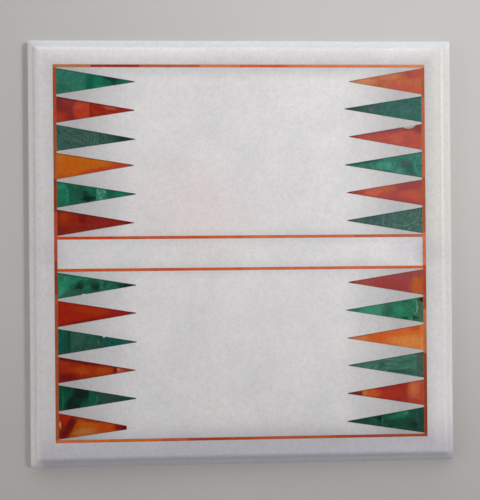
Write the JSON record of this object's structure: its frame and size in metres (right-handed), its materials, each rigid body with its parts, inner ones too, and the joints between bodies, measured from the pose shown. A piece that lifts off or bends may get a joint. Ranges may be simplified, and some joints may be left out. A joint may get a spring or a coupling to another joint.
{
  "type": "backgammon board",
  "caption": "Square white marble backgammon board with a moulded edge; triangular points and thin lines of green and orange-red stone are inlaid flush.",
  "frame": {"origin": "middle of the underside", "axes": "+X to the right of the board as pictured, +Y to its far side, +Z out of the playing face"},
  "size_m": [0.381, 0.381, 0.016],
  "materials": {
    "marble": "white marble, ground and polished",
    "cement": "white cement, ground flush",
    "malachite": "banded malachite, polished",
    "carnelian": "carnelian and jasper, polished"
  },
  "bodies": {
    "root": {"marble_slab": "marble", "setting_cement": "cement", "border_top": "carnelian", "border_bottom": "carnelian", "border_left": "carnelian", "border_right": "carnelian", "bar_line_upper": "carnelian", "bar_line_lower": "carnelian", "point_left_1": "malachite", "point_left_2": "carnelian", "point_left_3": "malachite", "point_left_4": "carnelian", "point_left_5": "malachite", "point_left_6": "carnelian", "point_left_7": "malachite", "point_left_8": "carnelian", "point_left_9": "malachite", "point_left_10": "carnelian", "point_left_11": "malachite", "point_left_12": "carnelian", "point_right_1": "carnelian", "point_right_2": "malachite", "point_right_3": "carnelian", "point_right_4": "malachite", "point_right_5": "carnelian", "point_right_6": "malachite", "point_right_7": "carnelian", "point_right_8": "malachite", "point_right_9": "carnelian", "point_right_10": "malachite", "point_right_11": "carnelian", "point_right_12": "malachite"}
  },
  "joints": []
}
